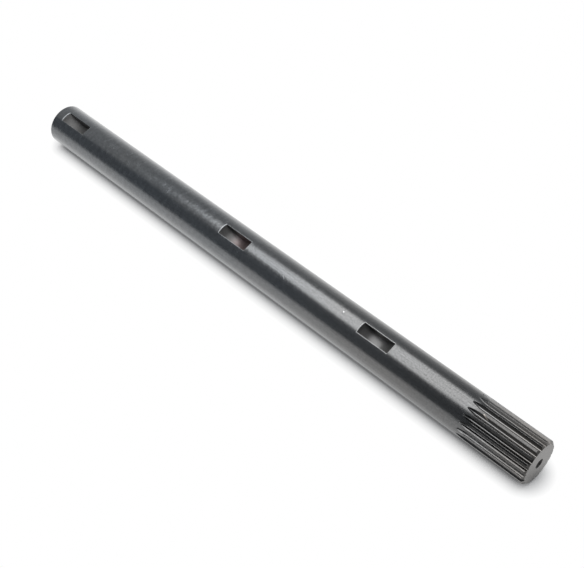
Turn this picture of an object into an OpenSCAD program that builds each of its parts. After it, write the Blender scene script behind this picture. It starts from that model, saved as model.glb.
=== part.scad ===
// Drive shaft: one round steel bar with three keyseats in line and a splined end.
// X runs along the axis from the plain end face to the splined end, and Z is up as the shaft lies.

/* [Bar] */
// Outside diameter, shared by the plain length and the tips of the spline's teeth
shaft_d = 34.925; // [30:0.005:42]
// Length over the two end faces
shaft_l = 514.35; // [480:0.05:640]
// Width of the 45 degree chamfer on the plain end
plain_chamfer = 0.4; // [0.3:0.1:1.6]
// Width of the 45 degree chamfer on the splined end
splined_chamfer = 1.6; // [0.3:0.1:1.7]
// Roll of the keyseats from straight up towards the front, as the shaft lies
lie_roll = 17.5; // [-180:0.5:180]

/* [Keyseats] */
// Plain end to the middle of the first keyseat
key_1_x = 23.7; // [20:0.1:60]
// Plain end to the middle of the second keyseat
key_2_x = 226.2; // [120:0.1:260]
// Plain end to the middle of the third keyseat
key_3_x = 373; // [300:0.1:380]
// Width across each keyseat
key_w = 9.53; // [6:0.01:11]
// Diameter of the disc cutter that is plunged to make a keyseat
key_cutter_d = 31.75; // [25:0.05:36]
// Depth from the long edges of a keyseat to the lowest line of its floor
key_depth = 9.13; // [6:0.01:10]

/* [Spline] */
// Number of teeth
spline_teeth = 19; // [16:1:24]
// Pressure angle of the involute flanks
spline_angle = 30; // [28:0.5:37.5]
// Length cut to full depth, from the splined end
spline_full_l = 47; // [30:0.1:60]
// Diameter of the cutter, whose rim leaves the curved run-out of each groove
spline_cutter_d = 41.3; // [38:0.1:76]
// Turn of the teeth from the line of the keyseats
spline_turn = -2; // [-10:0.1:10]

/* [Centre holes] */
// Mouth of the 60 degree centre hole in each end
centre_d = 7.8; // [5:0.1:9]
// Diameter of the pilot drilled below the cone
pilot_d = 3.2; // [2:0.1:4.5]
// Depth of the pilot from the end face
pilot_l = 8; // [7:0.5:14]

/* [Hidden] */
$fn = 96;
shaft_r = shaft_d / 2;
key_mid_xs = [key_1_x, key_2_x, key_3_x];
key_edge_z = sqrt(shaft_r * shaft_r - key_w * key_w / 4);
key_cutter_z = key_edge_z - key_depth + key_cutter_d / 2;
// The teeth stand half a module above the pitch circle, so the bar sets the module.
spline_m = shaft_d / (spline_teeth + 1);
pitch_r = spline_m * spline_teeth / 2;
base_r = pitch_r * cos(spline_angle);
form_r = pitch_r - 0.5 * spline_m;
flank_steps = 4;
root_steps = 6;
// The cutter's profile goes on a little outside the bar.
groove_top_r = shaft_r + 0.4 * spline_m;
spline_full_x = shaft_l - spline_full_l;
cone_l = (centre_d - pilot_d) / 2 / tan(30);
pilot_tip_l = pilot_d / 2 / tan(59);

// Involute function of a pressure angle, in degrees.
function involute(a) = tan(a) * 180 / PI - a;

// Half the angle that a groove takes up at radius r.
function groove_half(r) = 90 / spline_teeth - involute(spline_angle) + involute(acos(base_r / r));

// The flanks run down to the form radius, and one round fillet, tangent to both, makes the root.
form_half = groove_half(form_r);
flank_lean = form_half + acos(base_r / form_r);
fillet_r = form_r * sin(form_half) / cos(flank_lean);
fillet_z = form_r * cos(form_half) + fillet_r * sin(flank_lean);
spline_cutter_z = fillet_z - fillet_r + spline_cutter_d / 2;

// Points down one flank of a groove, with the groove's middle on the Y axis; side is -1 or 1.
function flank(side) = [
    for (i = [0:flank_steps])
        let (r = groove_top_r + (form_r - groove_top_r) * i / flank_steps, a = side * groove_half(r))
            [r * sin(a), r * cos(a)]
];

// Points round the root between the ends of the two flanks.
function root() = [
    for (i = [1:root_steps - 1])
        let (a = (90 - flank_lean) * (2 * i / root_steps - 1))
            [fillet_r * sin(a), fillet_z - fillet_r * cos(a)]
];

function turned_round(points) = [for (i = [len(points) - 1:-1:0]) points[i]];

// The bar as it comes off the lathe, with both ends chamfered and centre drilled.
module turned_bar() {
    rotate([0, 90, 0])
        rotate_extrude()
            polygon([
                [0, pilot_l + pilot_tip_l],
                [pilot_d / 2, pilot_l],
                [pilot_d / 2, cone_l],
                [centre_d / 2, 0],
                [shaft_r - plain_chamfer, 0],
                [shaft_r, plain_chamfer],
                [shaft_r, shaft_l - splined_chamfer],
                [shaft_r - splined_chamfer, shaft_l],
                [centre_d / 2, shaft_l],
                [pilot_d / 2, shaft_l - cone_l],
                [pilot_d / 2, shaft_l - pilot_l],
                [0, shaft_l - pilot_l - pilot_tip_l]
            ]);
}

// The disc cutter, plunged straight in to leave an arc-floored keyseat.
module keyseat(mid_x) {
    translate([mid_x, 0, key_cutter_z])
        rotate([90, 0, 0])
            cylinder(d = key_cutter_d, h = key_w, center = true);
}

// One groove: the cutter's profile drawn along the bar, then swung up round the cutter's axle.
module groove() {
    profile = concat(flank(-1), root(), turned_round(flank(1)));
    translate([spline_full_x, 0, 0])
        rotate([90, 0, 90])
            linear_extrude(spline_full_l + 1)
                polygon(profile);
    translate([spline_full_x, 0, spline_cutter_z])
        rotate([-90, 90, 0])
            rotate_extrude(angle = 40)
                polygon([for (p = profile) [spline_cutter_z - p[1], p[0]]]);
}

module shaft() {
    color([0.10, 0.105, 0.105])
        rotate([lie_roll, 0, 0])
            difference() {
                turned_bar();
                for (mid_x = key_mid_xs)
                    keyseat(mid_x);
                for (i = [0:spline_teeth - 1])
                    rotate([spline_turn + (i + 0.5) * 360 / spline_teeth, 0, 0])
                        groove();
            }
}

shaft();
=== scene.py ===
"""Looks of the drive shaft: one blackened steel bar lying on a white studio floor."""
import math

import bmesh
import bpy
import numpy as np
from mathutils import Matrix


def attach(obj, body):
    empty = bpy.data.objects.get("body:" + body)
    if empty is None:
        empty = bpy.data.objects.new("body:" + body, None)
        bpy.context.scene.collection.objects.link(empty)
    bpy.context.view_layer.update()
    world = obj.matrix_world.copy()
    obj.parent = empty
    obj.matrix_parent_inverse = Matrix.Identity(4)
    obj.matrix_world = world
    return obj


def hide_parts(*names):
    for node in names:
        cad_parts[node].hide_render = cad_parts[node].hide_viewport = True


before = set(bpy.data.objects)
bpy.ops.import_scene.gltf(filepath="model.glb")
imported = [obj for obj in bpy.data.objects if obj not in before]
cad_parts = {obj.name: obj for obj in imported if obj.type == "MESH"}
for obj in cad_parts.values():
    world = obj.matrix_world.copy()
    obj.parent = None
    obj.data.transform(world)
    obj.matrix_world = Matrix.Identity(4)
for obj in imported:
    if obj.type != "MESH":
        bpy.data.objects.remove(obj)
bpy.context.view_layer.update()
scene = bpy.context.scene


# Shaft: the bar
# One round bar of carbon steel, cold drawn and turned to a single diameter, with all the other forms cut into
# it. It lies with its keyseats rolled towards the front. Lengths are in millimetres, and angles run round the
# axis from the line of the keyseats to the front.
BAR_R = 34.925 / 2
BAR_L = 514.35
LIE_ROLL = math.radians(17.5)
MM_PER_M = 1000

patches = []


def as_lying(x, u, v):
    """Points of the bar as it lies, in metres: v is out through the keyseats and u is square to it, towards
    the front, and both are turned by the roll."""
    y = -v * math.sin(LIE_ROLL) - u * math.cos(LIE_ROLL)
    z = v * math.cos(LIE_ROLL) - u * math.sin(LIE_ROLL)
    return np.stack(np.broadcast_arrays(x, y, z), -1) / MM_PER_M


def on_bar(x, angle, r):
    """Points at a distance x along the bar, on a circle of radius r, at an angle from the keyseats."""
    return as_lying(x, r * np.sin(angle), r * np.cos(angle))


def patch(points, closed=False, keep=None, rub=0.0):
    """Adds the surface through a grid of points. A closed grid joins its last column to its first, keep marks
    the cells to make, and rub says from 0 to 1 how far handling wears the points bright."""
    rows, cols = points.shape[:2]
    i, j = np.meshgrid(np.arange(rows - 1), np.arange(cols if closed else cols - 1), indexing="ij")
    k = (j + 1) % cols
    quads = np.stack([i * cols + j, i * cols + k, (i + 1) * cols + k, (i + 1) * cols + j], -1)
    quads = quads.reshape(-1, 4) if keep is None else quads[keep]
    patches.append((points.reshape(-1, 3), quads, np.broadcast_to(rub, (rows, cols)).ravel()))


# Shaft: keyseats
# Three half-moon keyseats in line, each plunged with a disc cutter, so that the floor is an arc along the bar
# and the walls are flat. The burr at the mouth is filed off, which leaves a narrow rounded rim.
KEY_MIDS = np.array([23.7, 226.2, 373.0])
KEY_HALF_W = 9.53 / 2
KEY_CUTTER_R = 31.75 / 2
KEY_DEPTH = 9.13
KEY_RIM = 0.4
RIM_CORNER = 0.36
RIM_RUB = np.array([[0.2], [1.0], [0.2]])
KEY_COLS, KEY_ROWS, KEY_WALL_ROWS = 14, 28, 8
SKIN_COLS = 190
TOUCH = 1e-6

key_edge_v = math.sqrt(BAR_R ** 2 - KEY_HALF_W ** 2)
key_cutter_v = key_edge_v - KEY_DEPTH + KEY_CUTTER_R
mouth_half_w = KEY_HALF_W + KEY_RIM
mouth_angle = math.asin(mouth_half_w / BAR_R)
mouth_angles = np.arcsin(np.linspace(-mouth_half_w, mouth_half_w, KEY_COLS + 1) / BAR_R)
round_angles = np.linspace(mouth_angle, 2 * math.pi - mouth_angle, SKIN_COLS + 1)[1:-1]
skin_angles = np.concatenate([mouth_angles, round_angles])
key_sweep = np.linspace(-1, 1, KEY_ROWS + 1)


def floor_turn(v):
    """Angle round the cutter's axle at which the floor of a keyseat comes up to height v."""
    return np.arccos((key_cutter_v - v) / KEY_CUTTER_R)


def mouth_half_length(angle):
    """Half the length of a keyseat's mouth, rim included, at an angle round the bar: it is longest in the
    middle, where the bar stands highest, and it keeps its length at the sides."""
    u = np.minimum(np.abs(BAR_R * np.sin(angle)), KEY_HALF_W)
    inside = np.cos(angle) > math.cos(mouth_angle) - TOUCH
    v = np.where(inside, np.sqrt(BAR_R ** 2 - u ** 2), key_edge_v)
    return KEY_CUTTER_R * np.sin(floor_turn(v)) + KEY_RIM


def keyseat(mid, mouth_x):
    """One keyseat: an arc floor swept by the cutter, two flat walls, and a rim that rounds over from the
    mouth on the bar, through a point near the sharp corner, to the walls and the floor's ends."""
    u = np.linspace(-KEY_HALF_W, KEY_HALF_W, KEY_COLS + 1)
    turn = key_sweep[:, None] * floor_turn(np.sqrt(BAR_R ** 2 - u ** 2) - KEY_RIM)
    x, v = mid + KEY_CUTTER_R * np.sin(turn), key_cutter_v - KEY_CUTTER_R * np.cos(turn)
    patch(as_lying(x, u, v))
    top_v = key_edge_v - KEY_RIM
    rise = np.linspace(0, 1, KEY_WALL_ROWS + 1)[:, None]
    for side in (0, -1):
        patch(as_lying(x[:, side], u[side], v[:, side] + (top_v - v[:, side]) * rise))
    wall_u, wall_v = np.full(KEY_ROWS - 1, KEY_HALF_W), np.full(KEY_ROWS - 1, top_v)
    inner = np.stack([
        np.concatenate([x[0], x[1:-1, -1], x[-1, ::-1], x[-2:0:-1, 0]]),
        np.concatenate([u, wall_u, u[::-1], -wall_u]),
        np.concatenate([v[0], wall_v, v[-1, ::-1], wall_v])])
    side_angle = np.full(KEY_ROWS - 1, mouth_angle)
    outer_angle = np.concatenate([mouth_angles, side_angle, mouth_angles[::-1], -side_angle])
    outer_x = np.concatenate([
        mouth_x[0, :KEY_COLS + 1], mouth_x[1:-1, KEY_COLS], mouth_x[-1, KEY_COLS::-1], mouth_x[-2:0:-1, 0]])
    outer = np.stack([outer_x, BAR_R * np.sin(outer_angle), BAR_R * np.cos(outer_angle)])
    corner_u = np.clip(outer[1], -KEY_HALF_W, KEY_HALF_W)
    at_end = np.abs(outer[1]) < KEY_HALF_W
    corner_x = np.where(at_end, (outer[0] + inner[0]) / 2, inner[0])
    corner = np.stack([corner_x, corner_u, np.sqrt(BAR_R ** 2 - corner_u ** 2)])
    middle = (outer + inner) / 2 * (1 - RIM_CORNER) + corner * RIM_CORNER
    ring = np.stack([outer, middle, inner], 1)
    patch(as_lying(*ring), closed=True, rub=RIM_RUB)


# Shaft: plain length
# The turned skin between the chamfer of the plain end and the spline. Its grid has a row along each end of
# every mouth and a column along each side, and the cells inside the mouths are left open for the keyseats.
PLAIN_CHAMFER = 0.4
JOIN_X = (BAR_L - 70.0, BAR_L - 62.0)
SKIN_STEP = 4.0
FEWEST_STEPS = 3
MOUTH_CROWD = 1.1

mouth_half_l = mouth_half_length(skin_angles)
side_half_l = mouth_half_l.min()
mouth_steps = side_half_l * np.sin(key_sweep * MOUTH_CROWD) / math.sin(MOUTH_CROWD)
bow = np.where(np.abs(key_sweep) == 1, key_sweep, 0)[:, None] * (mouth_half_l - side_half_l)


def straight_rows(places):
    """Rows of the skin's grid at places along the bar, each at the same distance all the way round."""
    return np.tile(places[:, None], len(skin_angles))


rows = [straight_rows(np.array([PLAIN_CHAMFER]))]
mouths = []
last = PLAIN_CHAMFER
for mid in KEY_MIDS:
    start = mid - side_half_l
    steps = max(int((start - last) / SKIN_STEP), FEWEST_STEPS)
    rows.append(straight_rows(np.linspace(last, start, steps + 1)[1:-1]))
    mouths.append(sum(len(block) for block in rows))
    rows.append(mid + mouth_steps[:, None] + bow)
    last = mid + side_half_l
steps = int((JOIN_X[0] - last) / SKIN_STEP)
rows.append(straight_rows(np.linspace(last, JOIN_X[0], steps + 1)[1:]))
skin_x = np.concatenate(rows)
made = np.ones((len(skin_x) - 1, len(skin_angles)), bool)
for first in mouths:
    made[first:first + KEY_ROWS, :KEY_COLS] = False
patch(on_bar(skin_x, skin_angles, BAR_R), closed=True, keep=made)
for mid, first in zip(KEY_MIDS, mouths):
    keyseat(mid, skin_x[first:first + KEY_ROWS + 1])


# Shaft: spline
# Teeth for a sliding hub, hobbed into the end of the bar: involute flanks, one round fillet along each root,
# and a curved run-out where the hob's rim swung up out of the groove. The tips stay flush with the bar, and
# their corners are rubbed round.
TEETH = 19
SPLINE_TURN = math.radians(-2.0)
PRESSURE = math.radians(30.0)
FORM_DEPTH = 0.5
FULL_X = BAR_L - 47.0
HOB_R = 41.3 / 2
TIP_ROUND = 0.12
TIP_MIDDLE = 0.29
TIP_RUB = (0.08, 0.3, 0.08)
DRIVE_RUB = 0.08
SPLINED_CHAMFER = 1.6
LAND_COLS, TIP_COLS, CHAMFER_COLS, FLANK_COLS, ROOT_COLS = 6, 2, 4, 6, 10
APPROACH_ROWS, SWING_ROWS, FULL_ROWS = 8, 18, 12

module = 2 * BAR_R / (TEETH + 1)
pitch_r = module * TEETH / 2
base_r = pitch_r * math.cos(PRESSURE)
form_r = pitch_r - FORM_DEPTH * module
face_r = BAR_R - SPLINED_CHAMFER


def involute(angle):
    """Involute function of a pressure angle: its tangent less the angle."""
    return np.tan(angle) - angle


def groove_half(r):
    """Half the angle that a groove takes up at radius r: half a pitch gap, widened along the involute."""
    return math.pi / 2 / TEETH - involute(PRESSURE) + involute(np.arccos(base_r / r))


def in_groove(x, u, v, middle):
    """Points u across and v out from the axis, turned to the groove whose middle is at an angle."""
    return as_lying(x, u * np.cos(middle) + v * np.sin(middle), v * np.cos(middle) - u * np.sin(middle))


# One pitch across: half a land, a rubbed tip and a flank down to the fillet, and the same up again.
tip_r = BAR_R - TIP_ROUND * np.array([0, TIP_MIDDLE, 1])
tip_a = groove_half(BAR_R) + TIP_ROUND / BAR_R * np.array([1, TIP_MIDDLE, 0])
flank_r = np.concatenate([
    np.linspace(tip_r[-1], face_r, CHAMFER_COLS + 1)[1:], np.linspace(face_r, form_r, FLANK_COLS + 1)[1:]])
side_r, side_a = np.append(tip_r, flank_r), np.append(tip_a, groove_half(flank_r))
lean = side_a[-1] + math.acos(base_r / form_r)
fillet_r = form_r * math.sin(side_a[-1]) / math.cos(lean)
fillet_v = form_r * math.cos(side_a[-1]) + fillet_r * math.sin(lean)
hob_v = fillet_v - fillet_r + HOB_R
fillet_turn = np.linspace(-1, 1, ROOT_COLS + 1)[1:-1] * (math.pi / 2 - lean)
root_u, root_v = fillet_r * np.sin(fillet_turn), fillet_v - fillet_r * np.cos(fillet_turn)
side_u, side_v = side_r * np.sin(side_a), side_r * np.cos(side_a)
land_a = np.linspace(-math.pi / TEETH, -side_a[0], LAND_COLS // 2, endpoint=False)
land_u, land_v = BAR_R * np.sin(land_a), BAR_R * np.cos(land_a)
pitch_u = np.concatenate([land_u, -side_u, root_u, side_u[::-1], -land_u[:0:-1]])
pitch_v = np.concatenate([land_v, side_v, root_v, side_v[::-1], land_v[:0:-1]])
point_r = np.hypot(pitch_u, pitch_v)
pitch_rub = np.zeros(len(pitch_u))
pitch_rub[len(land_a):len(land_a) + len(TIP_RUB)] = TIP_RUB
pitch_rub = np.maximum(pitch_rub, np.roll(pitch_rub[::-1], 1))
pitch_rub[(pitch_u > 0) & (point_r < tip_r[-1]) & (point_r > form_r - TOUCH)] = DRIVE_RUB

# The columns of all the pitches, each from the bar's skin down the run-out and along the groove to the end.
middles = SPLINE_TURN + (np.arange(TEETH) + 0.5) * 2 * math.pi / TEETH
col_u, col_v, col_rub = np.tile(pitch_u, TEETH), np.tile(pitch_v, TEETH), np.tile(pitch_rub, TEETH)
col_mid = np.repeat(middles, len(pitch_u))
col_r = np.hypot(col_u, col_v)
skin_v = np.sqrt(np.maximum(BAR_R ** 2 - col_u ** 2, 0))
run_out = np.sqrt(np.maximum((hob_v - col_v) ** 2 - (hob_v - skin_v) ** 2, 0))
end_x = BAR_L - np.maximum(col_r - face_r, 0)
share = np.linspace(0, 1, APPROACH_ROWS + 1)[:, None]
approach_x = JOIN_X[1] + (FULL_X - run_out - JOIN_X[1]) * share
patch(in_groove(approach_x, col_u, skin_v, col_mid), closed=True)
back = np.linspace(1, 0, SWING_ROWS + 1)[:, None] * run_out
swing_v = hob_v - np.sqrt((hob_v - col_v) ** 2 - back ** 2)
patch(in_groove(FULL_X - back, col_u, swing_v, col_mid), closed=True, rub=col_rub)
share = np.linspace(0, 1, FULL_ROWS + 1)[:, None]
patch(in_groove(FULL_X + (end_x - FULL_X) * share, col_u, col_v, col_mid), closed=True, rub=col_rub)

# A ring of triangles joins the columns of the plain length to the closer columns of the spline: each step of
# one ring goes to the point of the other that lies across from its middle.
ring_a, ring_b = on_bar(JOIN_X[0], skin_angles, BAR_R), in_groove(JOIN_X[1], col_u, skin_v, col_mid)
turn_a = skin_angles - skin_angles[0]
turn_b = (col_mid + np.arcsin(col_u / BAR_R) - skin_angles[0]) % (2 * math.pi)
ring_b, turn_b = np.roll(ring_b, -np.argmin(turn_b), 0), np.roll(turn_b, -np.argmin(turn_b))
count_a, count_b = len(turn_a), len(turn_b)
step_a, step_b = np.arange(count_a), np.arange(count_b)
middle_a = (turn_a + np.append(turn_a[1:], 2 * math.pi)) / 2
middle_b = (turn_b + np.append(turn_b[1:], turn_b[0] + 2 * math.pi)) / 2
across_a = count_a + np.searchsorted(middle_b, middle_a) % count_b
across_b = np.searchsorted(middle_a, middle_b, side="right") % count_a
fans = np.concatenate([
    np.stack([step_a, (step_a + 1) % count_a, across_a, across_a], -1),
    np.stack([across_b, count_a + (step_b + 1) % count_b, count_a + step_b, count_a + step_b], -1)])
patches.append((np.concatenate([ring_a, ring_b]), fans, np.zeros(count_a + count_b)))


# Shaft: ends
# Both ends are faced square on the lathe, chamfered at 45 degrees and centre drilled: a 60 degree cone with a
# pilot hole below it. On the splined end the grooves cut through the chamfer and the rim of the face.
CENTRE_R = 3.9
PILOT_R = 1.6
PILOT_L = 8.0
CONE_HALF = math.radians(30)
DRILL_HALF = math.radians(59)
CONE_ROWS, PILOT_ROWS, CHAMFER_ROWS, FACE_ROWS = 4, 3, 4, 8


def centre_hole(face_x, inward, angles):
    """A centre hole, turned from its half section: down the cone, along the pilot and in to the drill's
    point."""
    cone_l = (CENTRE_R - PILOT_R) / math.tan(CONE_HALF)
    point_l = PILOT_L + PILOT_R / math.tan(DRILL_HALF)
    cone, pilot = np.linspace(0, cone_l, CONE_ROWS + 1), np.linspace(cone_l, PILOT_L, PILOT_ROWS + 1)
    depth = np.concatenate([cone, pilot[1:], [point_l]])
    r = np.interp(depth, [0, cone_l, PILOT_L, point_l], [CENTRE_R, PILOT_R, PILOT_R, 0])
    patch(on_bar(face_x + inward * depth[:, None], angles, r[:, None]), closed=True)


share = np.linspace(0, 1, CHAMFER_ROWS + 1)[:, None]
patch(on_bar(PLAIN_CHAMFER * (1 - share), skin_angles, BAR_R - PLAIN_CHAMFER * share), closed=True)
plain_r = BAR_R - PLAIN_CHAMFER
share = np.linspace(0, 1, FACE_ROWS + 1)[:, None]
patch(on_bar(0.0, skin_angles, plain_r + (CENTRE_R - plain_r) * share), closed=True)
centre_hole(0.0, 1, skin_angles)

on_tooth = slice(0, TIP_COLS + CHAMFER_COLS + 1)
tooth_r, tooth_half = side_r[on_tooth, None], math.pi / TEETH - side_a[on_tooth, None]
across = np.linspace(-1, 1, LAND_COLS + 1)
lands = middles - math.pi / TEETH
for land in lands:
    patch(on_bar(BAR_L - (tooth_r - face_r), land + tooth_half * across, tooth_r))
at_face = col_r <= face_r + TOUCH
bridge = (lands[:, None] + tooth_half[-1] * across[1:-1]).ravel()
rim_a = np.append(col_mid[at_face] + np.arctan2(col_u, col_v)[at_face], bridge)
rim_r = np.append(col_r[at_face], np.full(len(bridge), face_r))
rim_r, rim_a = rim_r[np.argsort(rim_a)], np.sort(rim_a)
patch(on_bar(BAR_L, rim_a, rim_r + (CENTRE_R - rim_r) * share), closed=True)
centre_hole(BAR_L, -1, rim_a)


# Shaft: one closed surface
# All the cuts meet in the one piece of steel, so the patches become one mesh without seams. It is shaded
# smooth, apart from the edges that turn by more than a small angle.
MERGE_GRID = 1e7
SHARP_ANGLE = math.radians(16)


def one_mesh(name):
    """The patches as one mesh: equal corners are merged, and a quad with two equal corners is a triangle."""
    start = np.cumsum([0] + [len(points) for points, _, _ in patches[:-1]])
    points = np.concatenate([points for points, _, _ in patches])
    rub = np.concatenate([rub for _, _, rub in patches])
    faces = np.concatenate([quads + first for (_, quads, _), first in zip(patches, start)])
    cells = np.round(points * MERGE_GRID).astype(np.int64)
    _, index, merged = np.unique(cells, axis=0, return_index=True, return_inverse=True)
    faces = merged.reshape(-1)[faces]
    differs = faces != np.roll(faces, 1, 1)
    sides = differs.sum(1)
    faces, differs, sides = faces[sides > 2], differs[sides > 2], sides[sides > 2]
    mesh = bpy.data.meshes.new(name)
    mesh.vertices.add(len(index))
    mesh.vertices.foreach_set("co", points[index].ravel())
    mesh.loops.add(int(sides.sum()))
    mesh.loops.foreach_set("vertex_index", faces[differs])
    mesh.polygons.add(len(sides))
    mesh.polygons.foreach_set("loop_start", np.cumsum(sides) - sides)
    mesh.update(calc_edges=True)
    mesh.attributes.new("rub", "FLOAT", "POINT").data.foreach_set("value", rub[index])
    shell = bmesh.new()
    shell.from_mesh(mesh)
    bmesh.ops.recalc_face_normals(shell, faces=shell.faces)
    shell.to_mesh(mesh)
    shell.free()
    mesh.shade_smooth()
    mesh.set_sharp_from_angle(angle=SHARP_ANGLE)
    return mesh


shaft_mesh = one_mesh("shaft_steel")
shaft = bpy.data.objects.new("shaft_steel", shaft_mesh)
scene.collection.objects.link(shaft)
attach(shaft, "root")
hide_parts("shaft")


# Shaft: finish of the skin
# Hot black oxide on drawn steel, wiped with oil: a dark satin metal under a thin clear coat. Faint lines run
# along it, and a mottle and an orange peel fade towards the spline, where the oil is thinner too.
# Level is the metal's grey, warm tints it from blue to yellow, and heights are in micrometres.
class Wire:
    """An output socket of a node tree. Arithmetic on wires and numbers adds Math nodes, and node adds the
    others."""

    def __init__(self, tree, socket=None):
        self.tree, self.socket = tree, socket

    def node(self, kind, settings=None, sockets=None, out=0):
        """Adds a node, sets its settings first and then its sockets, to values or to wires."""
        made = self.tree.nodes.new(kind)
        for name, value in (settings or {}).items():
            setattr(made, name, value)
        for name, value in (sockets or {}).items():
            if isinstance(value, Wire):
                self.tree.links.new(value.socket, made.inputs[name])
            else:
                made.inputs[name].default_value = value
        return Wire(self.tree, made.outputs[out] if made.outputs else None)

    def other(self, name):
        """Another output of the same node."""
        return Wire(self.tree, self.socket.node.outputs[name])

    def math(self, operation, a, b=0.0, clamp=False):
        """A Math node on two wires or numbers, with its result kept between 0 and 1 where clamp is set."""
        return self.node("ShaderNodeMath", {"operation": operation, "use_clamp": clamp}, {0: a, 1: b})

    def __add__(self, other):
        return self.math("ADD", self, other)

    def __sub__(self, other):
        return self.math("SUBTRACT", self, other)

    def __rsub__(self, other):
        return self.math("SUBTRACT", other, self)

    def __mul__(self, other):
        return self.math("MULTIPLY", self, other)

    def __truediv__(self, other):
        return self.math("DIVIDE", self, other)

    def __rtruediv__(self, other):
        return self.math("DIVIDE", other, self)

    def __pow__(self, other):
        return self.math("POWER", self, other)

    __radd__ = __add__
    __rmul__ = __mul__

    def step(self, low, high):
        """Rises smoothly from 0 to 1 as the wire goes from low to high, or falls where high is below low."""
        if high < low:
            return 1 - self.step(high, low)
        smooth = {"interpolation_type": "SMOOTHSTEP"}
        return self.node("ShaderNodeMapRange", smooth, {0: self, 1: low, 2: high})

    def to(self, value, share):
        """Goes from this wire to a value by a share from 0 to 1."""
        return self + (value - self) * share

    def noise(self, grains, detail=2.0):
        """Smooth noise at this point, about -0.5 to 0.5, with grains of three lengths along the axes."""
        spot = self.node("ShaderNodeVectorMath", {"operation": "DIVIDE"}, {0: self, 1: grains})
        return self.node("ShaderNodeTexNoise", None, {"Vector": spot, "Scale": 1.0, "Detail": detail}) - 0.5


def new_tree(owner):
    """An empty node tree of a material or world, as a wire that adds nodes to it."""
    owner.use_nodes = True
    owner.node_tree.nodes.clear()
    return Wire(owner.node_tree)


BAR_LEVEL = 0.132
BAR_ROUGH = 0.24
BAR_OIL = 0.9
THIN_OIL = 0.4
OIL_THINS = (310, 470)
BAR_TINT = -0.055
TINT_FADES = (400, 150)
MOTTLE = 0.9
MOTTLE_GRAIN = (3.4, 5.0, 4.0)
MOTTLE_DETAIL = 3.0
MOTTLE_FADE = 0.7
MOTTLE_FADES = (100, 420)
LINES = 0.6
LINE_GRAIN = (60.0, 0.7, 0.7)
LINE_HEIGHT = 8.0
FLECK = 1.0
FLECK_GRAIN = (1.2, 1.2, 1.2)
FLECK_HEIGHT = 4.0
PATCH_TINT = 0.06
PATCH_GRAIN = (60.0, 30.0, 8.0)
PEEL_GRAIN = (3.2, 4.2, 3.0)
PEEL_HEIGHT = 190.0

steel = bpy.data.materials.new("black_oxide_steel")
tree = new_tree(steel)
split = tree.node("ShaderNodeSeparateXYZ", None, {0: tree.node("ShaderNodeTexCoord", out="Object")})
x, y, z = (split.other(axis) * MM_PER_M for axis in "XYZ")
radius = (y * y + z * z) ** 0.5
turn = tree.math("ARCTAN2", y, z)
depth = BAR_R - radius
skin = tree.node("ShaderNodeCombineXYZ", None, {0: x, 1: turn * BAR_R, 2: depth})
drawn = 1 - MOTTLE_FADE * x.step(*MOTTLE_FADES)
mottle = skin.noise(MOTTLE_GRAIN, MOTTLE_DETAIL) * drawn
lines = skin.noise(LINE_GRAIN)
fleck = skin.noise(FLECK_GRAIN)
patchy = skin.noise(PATCH_GRAIN)
peel = skin.noise(PEEL_GRAIN) * drawn
level = BAR_LEVEL * (1 + MOTTLE * mottle + LINES * lines + FLECK * fleck)
rough = BAR_ROUGH * (1 + MOTTLE * mottle)
oil = BAR_OIL - (BAR_OIL - THIN_OIL) * x.step(*OIL_THINS)
warm = BAR_TINT * x.step(*TINT_FADES) + PATCH_TINT * patchy
height = PEEL_HEIGHT * peel + LINE_HEIGHT * lines + FLECK_HEIGHT * fleck


# Shaft: finish of the teeth
# The hob leaves smooth, dark flanks and paler roots, with little oil in the grooves. The lands are darker
# than the bar. On the back side of the bar as it lies the flanks are duller, and painted paler as painted
# light.
TEETH_START = (BAR_L - 72, BAR_L - 70)
LANDS_START = (BAR_L - 54, BAR_L - 46)
CUT_DEPTH = (0.1, 0.6)
ROOT_DEPTH = (1.5, 2.1)
BACK_TURN = (-0.1, 0.2)
LAND_LEVEL = 0.073
LAND_FLECK = 1.3
LAND_ROUGH = 0.2
LAND_OIL = 0.5
FLANK_LEVEL = 0.055
BACK_PAINTED_LIGHT_LEVEL = 0.165
ROOT_LEVEL = 0.18
GROOVE_ROUGH = 0.15
BACK_ROUGH = 0.5
GROOVE_OIL = 0.3
TEETH_TINT = 0.025
TEETH_PATCH_TINT = 0.15

teeth = x.step(*TEETH_START)
splined = x.step(*LANDS_START)
cut = depth.step(*CUT_DEPTH)
grooves = cut * teeth
roots = grooves * depth.step(*ROOT_DEPTH)
# Painted light: on the back side of the bar as it lies, the flanks are painted paler; they are rougher there
# too.
painted_light_and_rough_behind = turn.step(*BACK_TURN) * teeth
flank_level_and_painted_light = FLANK_LEVEL + (BACK_PAINTED_LIGHT_LEVEL - FLANK_LEVEL) * painted_light_and_rough_behind
groove_rough = GROOVE_ROUGH + (BACK_ROUGH - GROOVE_ROUGH) * painted_light_and_rough_behind
land_level = LAND_LEVEL * (1 + LAND_FLECK * fleck)
level = level.to(land_level, splined).to(flank_level_and_painted_light, grooves).to(ROOT_LEVEL, roots)
rough = rough.to(LAND_ROUGH, splined).to(groove_rough, grooves)
oil = oil.to(LAND_OIL, splined).to(GROOVE_OIL, grooves)
warm = warm.to(TEETH_TINT + TEETH_PATCH_TINT * patchy, splined)


# Shaft: finish of the keyseats
# Milled floors and walls with a coarser, nearly dry oxide, which is roughest in the first keyseat. The
# second has a red-brown stain, and the second and the third are painted darker on the side of the plain
# end, as painted shade.
KEYS_START = (0.5, 1.0)
PAST_FIRST = (60, 180)
KEY_LEVEL = 0.152
KEY_FIRST = 0.95
KEY_FLECK = 0.6
KEY_PAINTED_SHADE = 0.5
KEY_SHADE_IN = (-21.0, -20.0)
KEY_SHADE_OUT = (-3.0, -8.5)
KEY_ROUGH = 0.36
KEY_FIRST_ROUGH = 0.25
KEY_METAL = 0.72
KEY_OIL = 0.1
KEY_TINT = 0.01
KEY_RED = 0.17
RED_IN = (216, 230)
RED_OUT = (244, 236)
KEY_HEIGHT = 12.0

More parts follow.
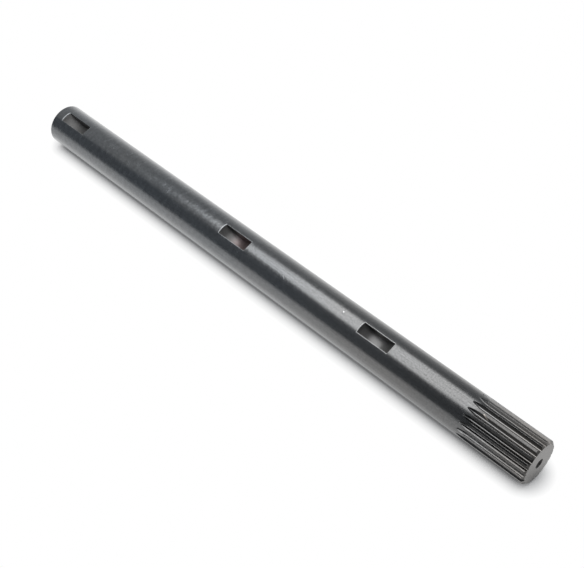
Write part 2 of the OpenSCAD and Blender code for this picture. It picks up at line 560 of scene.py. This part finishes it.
keys = cut * (1 - teeth) * x.step(*KEYS_START)
nearer = x.step(*PAST_FIRST)
# Painted shade: the plain-end side of the second and third keyseats is painted darker.
keyseat_painted_shade = sum((x - mid).step(*KEY_SHADE_IN) * (x - mid).step(*KEY_SHADE_OUT) for mid in KEY_MIDS[1:])
key_level = KEY_LEVEL * (KEY_FIRST + (1 - KEY_FIRST) * nearer) * (1 + KEY_FLECK * fleck)
level = level.to(key_level * (1 - (1 - KEY_PAINTED_SHADE) * keyseat_painted_shade), keys)
rough = rough.to(KEY_ROUGH + KEY_FIRST_ROUGH * (1 - nearer), keys)
metal = 1 - (1 - KEY_METAL) * keys
oil = oil.to(KEY_OIL, keys)
warm = warm.to(KEY_TINT, keys)
red = keys * KEY_RED * (x.step(*RED_IN) * x.step(*RED_OUT))
height = height + KEY_HEIGHT * (keys * fleck)


# Shaft: finish of the ends
# The faces are dull grey from the lathe tool and a little brown, with little oil. The centre holes are
# painted dark, as painted shade, and have no oil in them.
FACE_SKIN = (0.2, 0.05)
HOLE_EDGE = (0.25, -0.2)
FACE_LEVEL = 0.145
FACE_ROUGH = 0.4
FACE_OIL = 0.3
FACE_TINT = 0.045
HOLE_PAINTED_SHADE_LEVEL = 0.065

face = tree.math("MAXIMUM", (BAR_L - x).step(*FACE_SKIN), x.step(*FACE_SKIN))
hole = (radius - CENTRE_R).step(*HOLE_EDGE)
# Painted shade: the centre holes are painted dark.
level = level.to(FACE_LEVEL, face).to(HOLE_PAINTED_SHADE_LEVEL, hole)
rough = rough.to(FACE_ROUGH, face)
oil = oil.to(FACE_OIL, face).to(0.0, hole)
warm = warm.to(FACE_TINT, face)


# Shaft: worn places
# Handling has rubbed the rims of the keyseats and the corners of the teeth through to bare steel, least on
# the first keyseat. On the teeth the rub is weaker at the back of the bar as it lies, as painted shade, and
# stronger low down in front, as painted highlight. A speck, a fine scratch and a nick across the teeth are
# bare too, and each of these is two points, along and round the skin, and a width.
BARE_LEVEL = 0.62
BARE_ROUGH = 0.42
RUB_MEAN = 0.8
RUB_SPREAD = 1.6
RUB_GRAIN = (3.0, 3.0, 3.0)
RUB_FIRST = 0.25
RUB_BACK_PAINTED_SHADE = 0.3
RUB_FRONT_PAINTED_HIGHLIGHT = 1.7
FRONT_TURN = (-0.9, -1.1)
SPECK = ((340.2, -3.55), (340.6, -3.8), 0.55)
SPECK_BARE = 0.9
SCRATCH = ((282.2, -8.4), (284.5, -9.8), 0.45)
SCRATCH_BARE = 0.35
NICK = ((BAR_L - 44.4, -5.4), (BAR_L - 40.3, -6.6), 0.5)
NICK_BARE = 0.6
NICK_TINT = 0.12
SCRATCH_CORE = 0.3


def scratch(start, end, width):
    """Mask of a scratch on the skin between two points: 1 near the line between them, falling to 0 at a width
    from it."""
    run, turn_by = end[0] - start[0], end[1] - start[1]
    from_x, from_s = x - start[0], turn * BAR_R - start[1]
    along = tree.math("MULTIPLY", from_x * run + from_s * turn_by, 1 / (run ** 2 + turn_by ** 2), True)
    off_x, off_s = from_x - along * run, from_s - along * turn_by
    return ((off_x * off_x + off_s * off_s) ** 0.5).step(width, SCRATCH_CORE * width)


# Painted highlight: this marks the teeth low down in front of the bar as it lies, where the rub is made
# stronger.
before = turn.step(*FRONT_TURN) * teeth
bare_wear_and_painted_light = tree.node("ShaderNodeAttribute", {"attribute_name": "rub"}, out="Fac")
bare_wear_and_painted_light = bare_wear_and_painted_light * (RUB_MEAN + RUB_SPREAD * skin.noise(RUB_GRAIN)) * (RUB_FIRST + (1 - RUB_FIRST) * nearer)
# Painted shade and highlight: the rub on the teeth is scaled down at the back and up in front of the bar as
# it lies.
bare_wear_and_painted_light = tree.math("MAXIMUM", bare_wear_and_painted_light * (1 - (1 - RUB_BACK_PAINTED_SHADE) * painted_light_and_rough_behind + (RUB_FRONT_PAINTED_HIGHLIGHT - 1) * before), 0.0)
nick = scratch(*NICK)
for mark in (scratch(*SPECK) * SPECK_BARE, scratch(*SCRATCH) * SCRATCH_BARE, nick * NICK_BARE):
    bare_wear_and_painted_light = tree.math("MAXIMUM", bare_wear_and_painted_light, mark)
level = level.to(BARE_LEVEL, bare_wear_and_painted_light)
rough = rough.to(BARE_ROUGH, bare_wear_and_painted_light)
warm = warm.to(NICK_TINT, nick)


# Shaft: the steel put together
# The dark metal and its texture make the base, and the oil lies over it as a coat. The stain takes a share
# of what it adds to red from green and from blue.
STAIN_LOSS = 0.5
OIL_ROUGH = 0.22
OIL_IOR = 1.5
HEIGHT_UNIT = 1e-6

colour = tree.node("ShaderNodeCombineColor", None, {
    0: level * (1 + warm + red),
    1: level * (1 - STAIN_LOSS * red),
    2: level * (1 - warm - STAIN_LOSS * red)})
bump = tree.node("ShaderNodeBump", None, {"Strength": 1.0, "Distance": HEIGHT_UNIT, "Height": height})
surface = tree.node("ShaderNodeBsdfPrincipled", None, {
    "Base Color": colour, "Metallic": metal, "Roughness": rough, "Normal": bump,
    "Coat Weight": oil, "Coat Roughness": OIL_ROUGH, "Coat IOR": OIL_IOR})
tree.node("ShaderNodeOutputMaterial", None, {"Surface": surface})
shaft_mesh.materials.append(steel)


# Floor
# A sheet of white paper under the bar. It takes the bar's shadow close to the bar, and a painted white ramp
# lightens the outer part of that shadow, so that further away it is plain white.
# The metal sees that white behind the bar, and it fades out towards the dark side of the room in front.
# From here on lengths are in metres.
FLOOR_HALF = 12.0
FLOOR_CORNERS = ((-1, -1), (1, -1), (1, 1), (-1, 1))
FLOOR_COLOUR = (0.9, 0.9, 0.9, 1)
WHITE = (1, 1, 1, 1)
SHADOW_NEAR = 0.5 * BAR_R / MM_PER_M
SHADOW_FAR = 1.3 * BAR_R / MM_PER_M
SHADOW_END = 0.5 * BAR_R / MM_PER_M
SHADOW_END_RATE = 1.05
WHITE_BEHIND = (-0.3, -0.03)

floor_z = -BAR_R / MM_PER_M
floor_mesh = bpy.data.meshes.new("floor")
floor_mesh.from_pydata(
    [(i * FLOOR_HALF, j * FLOOR_HALF, floor_z) for i, j in FLOOR_CORNERS], [], [(0, 1, 2, 3)])
floor = bpy.data.objects.new("floor", floor_mesh)
scene.collection.objects.link(floor)
paper = bpy.data.materials.new("white_paper")
tree = new_tree(paper)
split = tree.node("ShaderNodeSeparateXYZ", None, {0: tree.node("ShaderNodeTexCoord", out="Object")})
x, y = split.other("X"), split.other("Y")
outside = tree.math("MAXIMUM", x - BAR_L / MM_PER_M, -1.0 * x) + SHADOW_END
beyond = tree.math("MAXIMUM", outside, 0.0) * SHADOW_END_RATE
away = (y * y + beyond * beyond) ** 0.5
# Painted light: white is mixed in over the outer part of the bar's shadow, so that the shadow ends close to
# the bar.
clear = tree.node("ShaderNodeMapRange", None, {0: away, 1: SHADOW_NEAR, 2: SHADOW_FAR})
rays = tree.node("ShaderNodeLightPath", out="Is Camera Ray")
glossy, through = rays.other("Is Glossy Ray"), rays.other("Is Transmission Ray")
seen = tree.math("ADD", rays + glossy * y.step(*WHITE_BEHIND), through, True)
lit = tree.node("ShaderNodeBsdfDiffuse", None, {"Color": FLOOR_COLOUR})
white = tree.node("ShaderNodeEmission", None, {"Color": WHITE, "Strength": 1.0})
mixed = tree.node("ShaderNodeMixShader", None, {0: clear * seen, 1: lit, 2: white})
tree.node("ShaderNodeOutputMaterial", None, {"Surface": mixed})
floor_mesh.materials.append(paper)


# Light
# One large softbox over the bar, in a room that is pale behind the bar, brightest low down and at the ends,
# and dark on the camera's side. The camera itself sees white all round.
LAMP_SIZE = (0.94, 0.72)
LAMP_PLACE = (0.245, 0.014, 0.617)
LAMP_POWER = 3.85
NEAR_COLOUR = (0.94, 1, 1.07, 1)
NEAR_STRENGTH = 0.14
FAR_COLOUR = (0.92, 1, 1.09, 1)
FAR_STRENGTH = 0.25
FAR_FROM = (-0.3, -0.48)
OVERHEAD_COLOUR = (0.94, 1, 1.06, 1)
OVERHEAD_STRENGTH = 0.28
ROOM_LINE = 0.6
ROOM_BLUR = 0.1
ROOM_ENDS = 0.75
HORIZON_RISE = 0.55
HORIZON_NEAR = 0.32
HORIZON_FROM = (-0.25, -0.5)

lamp = bpy.data.lights.new("softbox", "AREA")
lamp.shape = "ELLIPSE"
lamp.size, lamp.size_y = LAMP_SIZE
lamp.energy = LAMP_POWER
softbox = bpy.data.objects.new("softbox", lamp)
softbox.location = LAMP_PLACE
scene.collection.objects.link(softbox)
world = bpy.data.worlds.new("studio")
scene.world = world
tree = new_tree(world)
towards = tree.node("ShaderNodeSeparateXYZ", None, {0: tree.node("ShaderNodeTexCoord", out="Generated")})
x, y, z = (towards.other(axis) for axis in "XYZ")
near_side = tree.node("ShaderNodeBackground", None, {"Color": NEAR_COLOUR, "Strength": NEAR_STRENGTH})
far_side = tree.node("ShaderNodeBackground", None, {"Color": FAR_COLOUR, "Strength": FAR_STRENGTH})
overhead = tree.node("ShaderNodeBackground", None, {"Color": OVERHEAD_COLOUR, "Strength": OVERHEAD_STRENGTH})
horizon = tree.node("ShaderNodeBackground", None, {"Color": WHITE, "Strength": 1.0})
open_side = (y + ROOM_LINE * z).step(-ROOM_BLUR, ROOM_BLUR)
low = tree.math("SUBTRACT", 1.0, z / HORIZON_RISE, True)
low = low * (HORIZON_NEAR + (1 - HORIZON_NEAR) * x.step(*HORIZON_FROM))
bright = tree.math("ADD", low, (1 - low) * (ROOM_ENDS * (x * x)), True)
front = tree.node("ShaderNodeMixShader", None, {0: x.step(*FAR_FROM), 1: near_side, 2: far_side})
back = tree.node("ShaderNodeMixShader", None, {0: bright, 1: overhead, 2: horizon})
room = tree.node("ShaderNodeMixShader", None, {0: open_side, 1: front, 2: back})
rays = tree.node("ShaderNodeLightPath", out="Is Camera Ray")
seen = tree.math("ADD", rays, rays.other("Is Transmission Ray"), True)
shown = tree.node("ShaderNodeMixShader", None, {0: seen, 1: room, 2: horizon})
tree.node("ShaderNodeOutputWorld", None, {"Surface": shown})


# Camera
# It looks down on the bar from the front and from beyond the splined end, so that the keyseats and the teeth
# both show. Its place and turn are fitted to the outlines in the photograph.
CAMERA_PLACE = (0.69657, -0.41145, 0.59984)
CAMERA_TURN = (math.radians(44.278), 0.0, math.radians(45.10))
CAMERA_LENS = 67.6
CAMERA_SENSOR = 36

lens = bpy.data.cameras.new("camera")
lens.sensor_width = CAMERA_SENSOR
lens.lens = CAMERA_LENS
camera = bpy.data.objects.new("camera", lens)
camera.location = CAMERA_PLACE
camera.rotation_euler = CAMERA_TURN
scene.collection.objects.link(camera)
scene.camera = camera
scene.view_settings.view_transform = "Standard"
